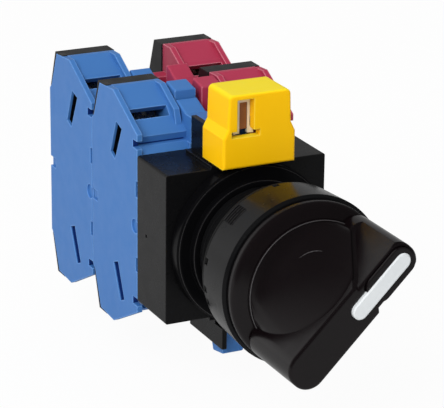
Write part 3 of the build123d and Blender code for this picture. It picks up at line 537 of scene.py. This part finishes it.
def shrunk(outline, by):
    """The outline drawn in towards its middle."""
    middle = [sum(point[i] for point in outline) / len(outline) for i in (0, 1)]
    corners = []
    for point in outline:
        away = Vector((point[0] - middle[0], point[1] - middle[1]))
        away -= away.normalized() * by * math.sqrt(2.0)
        corners.append((middle[0] + away.x, middle[1] + away.y))
    return corners


def liner_piece(name, outline, near, far, slot, material):
    """Thin dark lining round the walls of an opening, as painted shade."""
    rings = []
    for outer, inner in zip(outline, shrunk(outline, LINER)):
        rings.append([(near, *outer), (far, *outer), (far, *inner), (near, *inner)])
    return sweep(name, rings, "panel_side", material, closed=True, smooth=20.0)


def strip(stations, turn):
    """Outline of a strip on the floor of the groove, above or below the middle."""
    near, far = stations
    low, high = (height * turn for height in GROOVE_HEIGHTS)
    return [(near, low), (far, low), (far, high), (near, high)]


def placed(outline, shift):
    """Outline moved from the block's own frame to the row that stands shift behind the first."""
    return [(BLOCK_FRONT + shift + station, BLOCK_RISE + height) for station, height in outline]


for stage_name, shift in (("front", 0.0), ("rear", BLOCK_PITCH)):
    for column_name, side, slot in (("no", -1, "case_blue"), ("nc", 1, "case_magenta")):
        column = f"{stage_name}_{column_name}"
        shade = groove_shade_blue if side < 0 else groove_shade_magenta
        slot_floor = placed(shrunk(NARROW, 0.02), shift)
        slab_piece(column + "_slot_floor", slot_floor, *(side * x for x in SLOT_FLOOR), slot, shade)
        liner_piece(
            column + "_slot_lining", placed(NARROW, shift), *(side * x for x in SLOT_LINING), slot, shade
        )
        for half, turn in (("upper", 1), ("lower", -1)):
            for part, stations, span in (
                ("groove", GROOVE_STATIONS, GROOVE_REACH), ("notch", NOTCH_STATIONS, NOTCH_REACH),
            ):
                slab_piece(
                    f"{column}_{part}_{half}", placed(strip(stations, turn), shift),
                    *(side * x for x in span), slot, shade,
                )
        slab_piece(
            column + "_window_floor", placed(ROOM, shift), *(side * x for x in WINDOW_FLOOR), slot, slot_painted_shade
        )
        liner_piece(
            column + "_window_lining", placed(WINDOW, shift), *(side * x for x in WINDOW_LINING),
            slot, slot_painted_shade,
        )


# Fine raised arc in the left scoop, through places where the photograph shows a short light arc; its lighter
# colour is a painted highlight
ARC_PLACES = [(299.5, 258.0), (303.5, 255.2), (308.0, 252.8), (313.0, 251.3), (318.0, 250.8), (322.5, 251.2)]
ARC_THICKNESS = 0.09


def seen_at(spot, target):
    """Point of the target's surface at a spot of the image, with the surface's direction there."""
    x, y = spot
    ray = -back * FOCAL_PIXELS + right * (x - CENTRE_PIXELS[0]) - up * (y - CENTRE_PIXELS[1])
    tree = BVHTree.FromPolygons(
        [vertex.co for vertex in target.data.vertices],
        [tuple(polygon.vertices) for polygon in target.data.polygons],
    )
    return tree.ray_cast(place, ray.normalized())[:2]


arc = [seen_at(spot, bpy.data.objects["scoop_left"]) for spot in ARC_PLACES]
rings = []
for index, (hit, normal) in enumerate(arc):
    before, after = arc[max(index - 1, 0)][0], arc[min(index + 1, len(arc) - 1)][0]
    along = (after - before).normalized()
    out = (normal - along * normal.dot(along)).normalized()
    across = along.cross(out)
    size = ARC_THICKNESS * math.sin(math.pi * (index + 0.6) / (len(arc) + 0.2))
    rings.append([
        tuple(hit / MM + out * size * math.sin(turn) + across * size * math.cos(turn)) for turn in BEAD_TURNS
    ])
sweep("scoop_arc_highlight", rings, "knob", painted_gloss_highlight, smooth=60.0)


# Floor, backdrop and light
def ray_share(tree, kinds, amount):
    """A value of amount for the given kinds of ray and 0 for the others."""
    path = tree.nodes.new("ShaderNodeLightPath")
    total = path.outputs[kinds[0]]
    for kind in kinds[1:]:
        larger = tree.nodes.new("ShaderNodeMath")
        larger.operation = "MAXIMUM"
        tree.links.new(total, larger.inputs[0])
        tree.links.new(path.outputs[kind], larger.inputs[1])
        total = larger.outputs["Value"]
    scaled = tree.nodes.new("ShaderNodeMath")
    scaled.operation = "MULTIPLY"
    scaled.inputs[1].default_value = amount
    tree.links.new(total, scaled.inputs[0])
    return scaled.outputs["Value"]


def front_to_back(tree, value, near, far, low, high):
    """Grey level that rises from low in front to high behind."""
    ramp = tree.nodes.new("ShaderNodeMapRange")
    ramp.interpolation_type = "SMOOTHSTEP"
    ramp.inputs["From Min"].default_value = near
    ramp.inputs["From Max"].default_value = far
    ramp.inputs["To Min"].default_value = low
    ramp.inputs["To Max"].default_value = high
    tree.links.new(value, ramp.inputs["Value"])
    return ramp.outputs["Result"]


def white_stage(name):
    """Pale floor that looks white to the camera and keeps a soft shadow; to glossy and transmission rays it
    shows painted light instead, a glow dim in front and brighter behind and to the left.
    """
    material, tree, shader = new_material(name)
    shader.inputs["Base Color"].default_value = (0.86, 0.86, 0.86, 1.0)
    shader.inputs["Roughness"].default_value = 0.9
    output = next(node for node in tree.nodes if node.type == "OUTPUT_MATERIAL")
    glow = tree.nodes.new("ShaderNodeEmission")
    mix = tree.nodes.new("ShaderNodeMixShader")
    tree.links.new(ray_share(tree, ["Is Camera Ray"], 0.95), mix.inputs["Fac"])
    tree.links.new(shader.outputs["BSDF"], mix.inputs[1])
    tree.links.new(glow.outputs["Emission"], mix.inputs[2])
    # Painted light: a glow seen only in reflections, dim in front, brighter behind and to the left
    glossy_glow = tree.nodes.new("ShaderNodeEmission")
    coordinates = tree.nodes.new("ShaderNodeTexCoord")
    split = tree.nodes.new("ShaderNodeSeparateXYZ")
    tree.links.new(coordinates.outputs["Object"], split.inputs["Vector"])
    sideways = tree.nodes.new("ShaderNodeVectorMath")
    sideways.operation = "DOT_PRODUCT"
    sideways.inputs[1].default_value = (-0.7, 0.7, 0.0)
    tree.links.new(coordinates.outputs["Object"], sideways.inputs[0])
    both = tree.nodes.new("ShaderNodeMath")
    both.operation = "ADD"
    tree.links.new(front_to_back(tree, split.outputs["Y"], -0.24, -0.1, 0.1, 0.52), both.inputs[0])
    tree.links.new(front_to_back(tree, sideways.outputs["Value"], 0.02, 0.11, 0.0, 0.15), both.inputs[1])
    tree.links.new(both.outputs["Value"], glossy_glow.inputs["Strength"])
    last = tree.nodes.new("ShaderNodeMixShader")
    tree.links.new(ray_share(tree, ["Is Glossy Ray", "Is Transmission Ray"], 1.0), last.inputs["Fac"])
    tree.links.new(mix.outputs["Shader"], last.inputs[1])
    tree.links.new(glossy_glow.outputs["Emission"], last.inputs[2])
    tree.links.new(last.outputs["Shader"], output.inputs["Surface"])
    return material


FLOOR_DROP = 8 * MM
FLOOR_REACH = 3.0
floor_mesh = bpy.data.meshes.new("floor")
floor_mesh.from_pydata(
    [(x * FLOOR_REACH, y * FLOOR_REACH, 0) for x, y in ((-1, -1), (1, -1), (1, 1), (-1, 1))],
    [], [(0, 1, 2, 3)],
)
floor = bpy.data.objects.new("floor", floor_mesh)
bpy.context.scene.collection.objects.link(floor)
floor.location.z = cad_box[0][2] - FLOOR_DROP
floor_mesh.materials.append(white_stage("floor_white"))

WORLD_LEVEL = 0.5
world = bpy.data.worlds.new("studio")
bpy.context.scene.world = world
world.use_nodes = True
tree = world.node_tree
tree.nodes.clear()
world_output = tree.nodes.new("ShaderNodeOutputWorld")
sky = tree.nodes.new("ShaderNodeBackground")
seen = tree.nodes.new("ShaderNodeBackground")
shown = tree.nodes.new("ShaderNodeBackground")
sky.inputs["Strength"].default_value = WORLD_LEVEL
seen.inputs["Strength"].default_value = 1.0
for item in (sky, seen, shown):
    item.inputs["Color"].default_value = (1.0, 1.0, 1.0, 1.0)
direction = tree.nodes.new("ShaderNodeTexCoord")
towards = tree.nodes.new("ShaderNodeVectorMath")
towards.operation = "DOT_PRODUCT"
towards.inputs[1].default_value = (-0.7, 0.6, -0.2)
tree.links.new(direction.outputs["Generated"], towards.inputs[0])
ahead = tree.nodes.new("ShaderNodeSeparateXYZ")
tree.links.new(direction.outputs["Generated"], ahead.inputs["Vector"])
whole = tree.nodes.new("ShaderNodeMath")
whole.operation = "ADD"
tree.links.new(front_to_back(tree, towards.outputs["Value"], 0.3, 0.9, 0.0, 0.45), whole.inputs[0])
tree.links.new(front_to_back(tree, ahead.outputs["Y"], 0.3, 0.85, 0.1, 0.4), whole.inputs[1])
tree.links.new(whole.outputs["Value"], shown.inputs["Strength"])
glossy = tree.nodes.new("ShaderNodeMixShader")
tree.links.new(ray_share(tree, ["Is Glossy Ray", "Is Transmission Ray"], 1.0), glossy.inputs["Fac"])
tree.links.new(sky.outputs["Background"], glossy.inputs[1])
tree.links.new(shown.outputs["Background"], glossy.inputs[2])
choose = tree.nodes.new("ShaderNodeMixShader")
tree.links.new(ray_share(tree, ["Is Camera Ray"], 1.0), choose.inputs["Fac"])
tree.links.new(glossy.outputs["Shader"], choose.inputs[1])
tree.links.new(seen.outputs["Background"], choose.inputs[2])
tree.links.new(choose.outputs["Shader"], world_output.inputs["Surface"])


def soft_box(name, position, aim, size, power):
    """Rectangular lamp that no surface mirrors."""
    data = bpy.data.lights.new(name, "AREA")
    data.shape = "RECTANGLE"
    data.size, data.size_y = size
    data.energy = power
    lamp = bpy.data.objects.new(name, data)
    bpy.context.scene.collection.objects.link(lamp)
    lamp.location = position
    lamp.rotation_euler = (Vector(aim) - Vector(position)).to_track_quat("-Z", "Y").to_euler()
    lamp.visible_glossy = False
    return lamp


soft_box("key", (-0.62, -0.45, 0.6), (0, 0.01, 0), (0.6, 0.6), 7.0)
soft_box("top", (0.05, 0.0, 0.9), (0, 0.01, 0), (0.7, 0.7), 0.8)

bpy.context.scene.view_settings.view_transform = "Standard"
